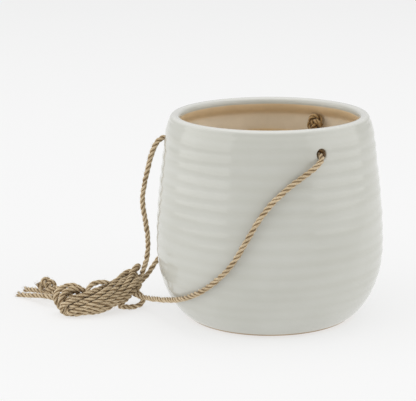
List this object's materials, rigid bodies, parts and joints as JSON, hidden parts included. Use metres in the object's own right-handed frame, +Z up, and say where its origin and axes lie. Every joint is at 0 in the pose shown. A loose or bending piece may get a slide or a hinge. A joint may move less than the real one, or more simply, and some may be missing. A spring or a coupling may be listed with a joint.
{
  "type": "hanging planter",
  "caption": "Ribbed white stoneware planter hung by jute ropes through holes below its rim; the ropes lie gathered in a hank beside it.",
  "frame": {"origin": "centre of the pot's foot, on the surface it stands on", "axes": "+Z up along the pot's axis; the ropes' hank lies towards -X, and -Y is the front"},
  "size_m": [0.3012, 0.1875, 0.1622],
  "materials": {
    "glaze": "satin white glaze over stoneware, beige inside",
    "jute": "natural three-strand twisted jute rope"
  },
  "bodies": {
    "root": {"pot": "glaze", "rope_left": "jute", "rope_front": "jute", "rope_back": "jute", "knot_left": "jute", "knot_front": "jute", "knot_back": "jute", "rope_hank": "jute", "tail_front": "jute", "tail_left": "jute", "tail_back": "jute", "end_knot": "jute"}
  },
  "joints": []
}
